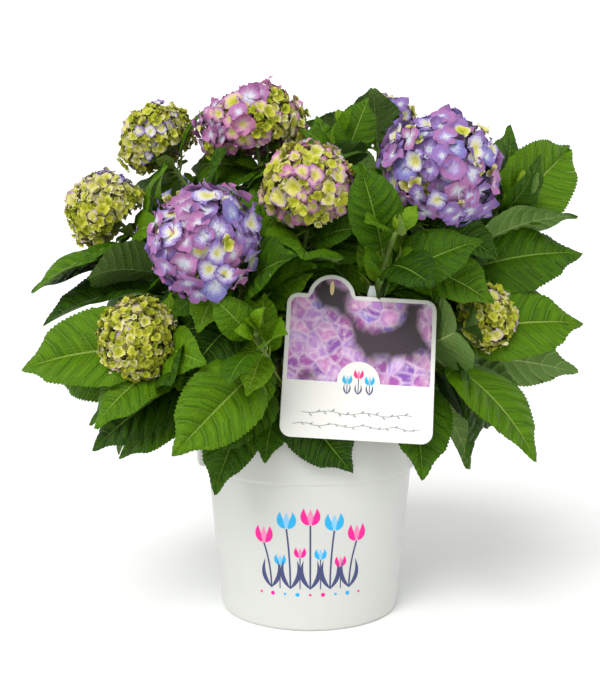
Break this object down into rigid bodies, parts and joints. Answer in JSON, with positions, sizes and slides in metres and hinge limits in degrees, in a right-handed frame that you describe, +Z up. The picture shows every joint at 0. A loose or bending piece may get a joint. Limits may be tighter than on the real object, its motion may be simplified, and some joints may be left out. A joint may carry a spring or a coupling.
{
  "type": "hydrangea shrub",
  "caption": "Rounded mophead hydrangea shrub in a tapered plastic pot: woody canes, broad toothed leaves, round flower heads, and a plant label on a stake in the soil.",
  "frame": {"origin": "centre of the pot's flat underside, on the ground", "axes": "+Z up, +X to the right and -Y towards the viewer of the label"},
  "size_m": [0.5815, 0.4691, 0.5694],
  "materials": {
    "pot_plastic": "satin warm white, injection moulded, with a printed pattern of small tulips",
    "potting_soil": "dark crumbly peat and bark",
    "label_plastic": "printed white plastic card",
    "stake_plastic": "milky plastic strip",
    "trunk_bark": "flaking grey-brown bark",
    "cane_bark": "green young stem with fine brown spots",
    "foliage": "satin green leaves, and petals from yellow-green to pink, violet and blue"
  },
  "bodies": {
    "root": {"pot": "pot_plastic", "soil": "potting_soil", "label_card": "label_plastic", "label_stake": "stake_plastic", "trunk": "trunk_bark", "cane_front_left": "cane_bark", "cane_front_right": "cane_bark", "cane_front_middle": "cane_bark", "cane_centre_leafy": "cane_bark", "cane_low_left": "cane_bark", "cane_low_right": "cane_bark", "cane_left": "cane_bark", "cane_top_left": "cane_bark", "cane_top_middle": "cane_bark", "cane_top_right": "cane_bark", "cane_right_leafy": "cane_bark", "cane_crown_leafy": "cane_bark", "cane_low_middle_leafy": "cane_bark", "cane_back_left": "cane_bark", "cane_back_middle": "cane_bark", "cane_back_right": "cane_bark", "cane_back_low": "cane_bark", "cane_back_leafy": "cane_bark", "cane_low_back_left": "cane_bark", "cane_low_back_right": "cane_bark", "foliage_front_left": "foliage", "foliage_front_right": "foliage", "foliage_front_middle": "foliage", "foliage_centre_leafy": "foliage", "foliage_low_left": "foliage", "foliage_low_right": "foliage", "foliage_left": "foliage", "foliage_top_left": "foliage", "foliage_top_middle": "foliage", "foliage_top_right": "foliage", "foliage_right_leafy": "foliage", "foliage_crown_leafy": "foliage", "foliage_low_middle_leafy": "foliage", "foliage_back_left": "foliage", "foliage_back_middle": "foliage", "foliage_back_right": "foliage", "foliage_back_low": "foliage", "foliage_back_leafy": "foliage", "foliage_low_back_left": "foliage", "foliage_low_back_right": "foliage"}
  },
  "joints": []
}
